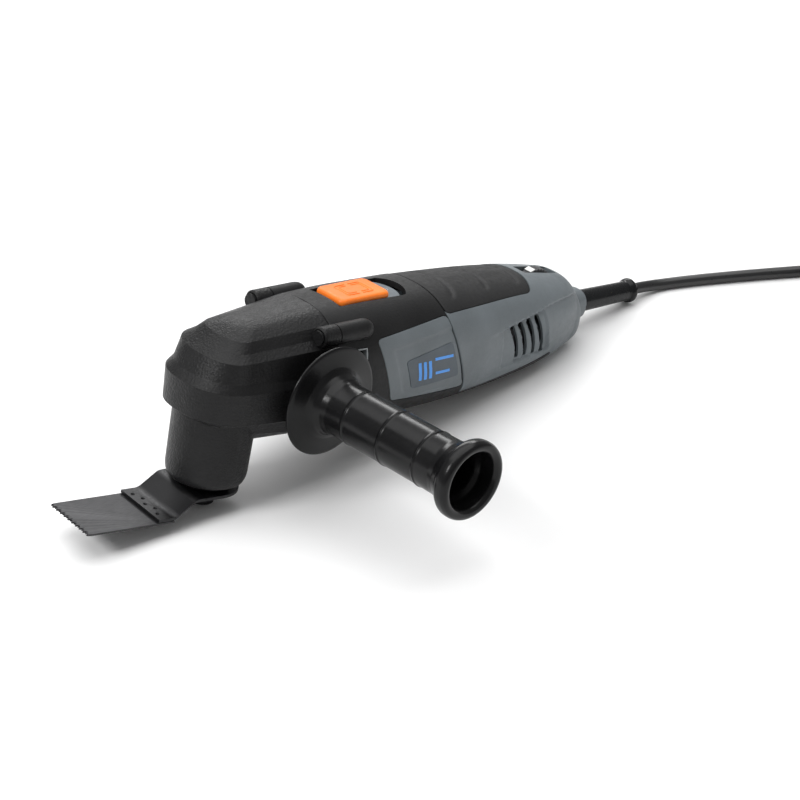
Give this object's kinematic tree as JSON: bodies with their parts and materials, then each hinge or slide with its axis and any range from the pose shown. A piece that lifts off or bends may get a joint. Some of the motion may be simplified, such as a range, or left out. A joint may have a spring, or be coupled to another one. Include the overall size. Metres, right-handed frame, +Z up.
{
  "type": "oscillating multi tool",
  "caption": "Corded oscillating multi tool with a cranked plunge saw blade, slide switch, speed dial, screw-in side handle and coiled mains cord.",
  "frame": {"origin": "middle of the footprint of the tool and side handle, without the free cord, on the surface it rests on", "axes": "+X from the blade to the cord, +Y to the side away from the side handle, +Z up; the tool itself is pitched nose up by 11.07 degrees, standing on its clamp screw and belly"},
  "size_m": [0.5904, 0.1832, 0.0916],
  "materials": {
    "head": "fine textured black, satin",
    "body": "fine textured black, matte",
    "grip": "soft textured black",
    "gray": "satin gray",
    "badge": "darker gray, satin",
    "trim": "light gray",
    "slate": "slate gray, satin",
    "orange": "satin orange",
    "handle": "smooth black, semi-gloss",
    "rubber": "black rubber",
    "cord": "black PVC, satin",
    "tie": "black strap",
    "plug": "black moulded",
    "brass": "plated brass",
    "carbon": "dull carbon",
    "dark_plastic": "knurled black",
    "blade": "dark oxide sheet",
    "dark_steel": "black oxide",
    "steel": "bright",
    "bearing": "polished",
    "aluminium": "cast",
    "lamination": "laminated",
    "copper": "enamelled copper"
  },
  "bodies": {
    "root": {"gear_housing": "head", "motor_housing": "body", "rear_top_grip": "grip", "belly_strip": "grip", "side_panel_left": "gray", "side_panel_right": "gray", "rear_housing": "gray", "badge_left": "badge", "badge_right": "badge", "side_window_frame_left": "trim", "side_window_frame_right": "trim", "switch_plate": "slate", "strain_relief": "rubber", "dust_seal": "rubber", "cord": "cord", "cord_coil": "cord", "cord_tail": "cord", "cord_tie": "tie", "plug": "plug", "plug_pin_left": "brass", "plug_pin_right": "brass", "brush_holder_left": "brass", "brush_holder_right": "brass", "carbon_brush_left": "carbon", "carbon_brush_right": "carbon", "speed_controller": "dark_plastic", "switch_body": "dark_plastic", "rear_bearing_holder": "dark_plastic", "head_screw_left": "steel", "head_screw_right": "steel", "dial_pin": "steel", "spindle_bearing_lower": "bearing", "spindle_bearing_upper": "bearing", "bearing_plate": "aluminium", "stator_core": "lamination", "field_winding_front": "copper", "field_winding_rear": "copper"},
    "spindle": {"spindle_shaft": "steel", "rocker_fork": "steel", "tool_flange": "dark_steel", "clamp_washer": "steel", "clamp_screw": "steel", "arbor_plate": "dark_steel", "saw_blade": "blade"},
    "armature": {"armature_shaft": "steel", "armature_core": "lamination", "armature_winding_front": "copper", "armature_winding_rear": "copper", "commutator": "copper", "front_bearing": "bearing", "rear_bearing": "bearing", "cooling_fan": "dark_plastic", "eccentric_pin": "steel", "eccentric_bearing": "bearing"},
    "switch": {"switch_knob": "orange", "switch_link": "slate"},
    "dial": {"speed_dial": "dark_plastic"},
    "handle_stud": {"handle_stud": "steel"},
    "handle_grip": {"handle_grip": "handle"}
  },
  "joints": [
    {"name": "spindle_oscillation", "type": "hinge", "parent": "root", "child": "spindle", "pos_m": [-0.1031, 0.0497, 0.05992], "axis": [0.192, 0, 0.9814], "range_deg": [-1.6, 1.6]},
    {"name": "armature_spin", "type": "hinge", "parent": "root", "child": "armature", "pos_m": [-0.01477, 0.0497, 0.04264], "axis": [0.9814, 0, -0.192], "continuous": true},
    {"name": "switch_slide", "type": "slide", "parent": "root", "child": "switch", "axis": [0.9814, 0, -0.192], "range_m": [0, 0.008]},
    {"name": "speed_dial_turn", "type": "hinge", "parent": "root", "child": "dial", "pos_m": [0.11018, 0.0497, 0.03551], "axis": [0, 1, 0], "range_deg": [0, 270]},
    {"name": "handle_unscrew", "type": "slide", "parent": "root", "child": "handle_stud", "axis": [0, -1, 0], "range_m": [0, 0.0102]},
    {"name": "handle_turn", "type": "hinge", "parent": "handle_stud", "child": "handle_grip", "pos_m": [-0.06365, -0.0103, 0.0522], "axis": [0, -1, 0], "range_deg": [0, 2880]}
  ],
  "couplings": [
    {"joint": "handle_unscrew", "follows": "handle_turn", "m_per_rad": 0.00019894}
  ]
}
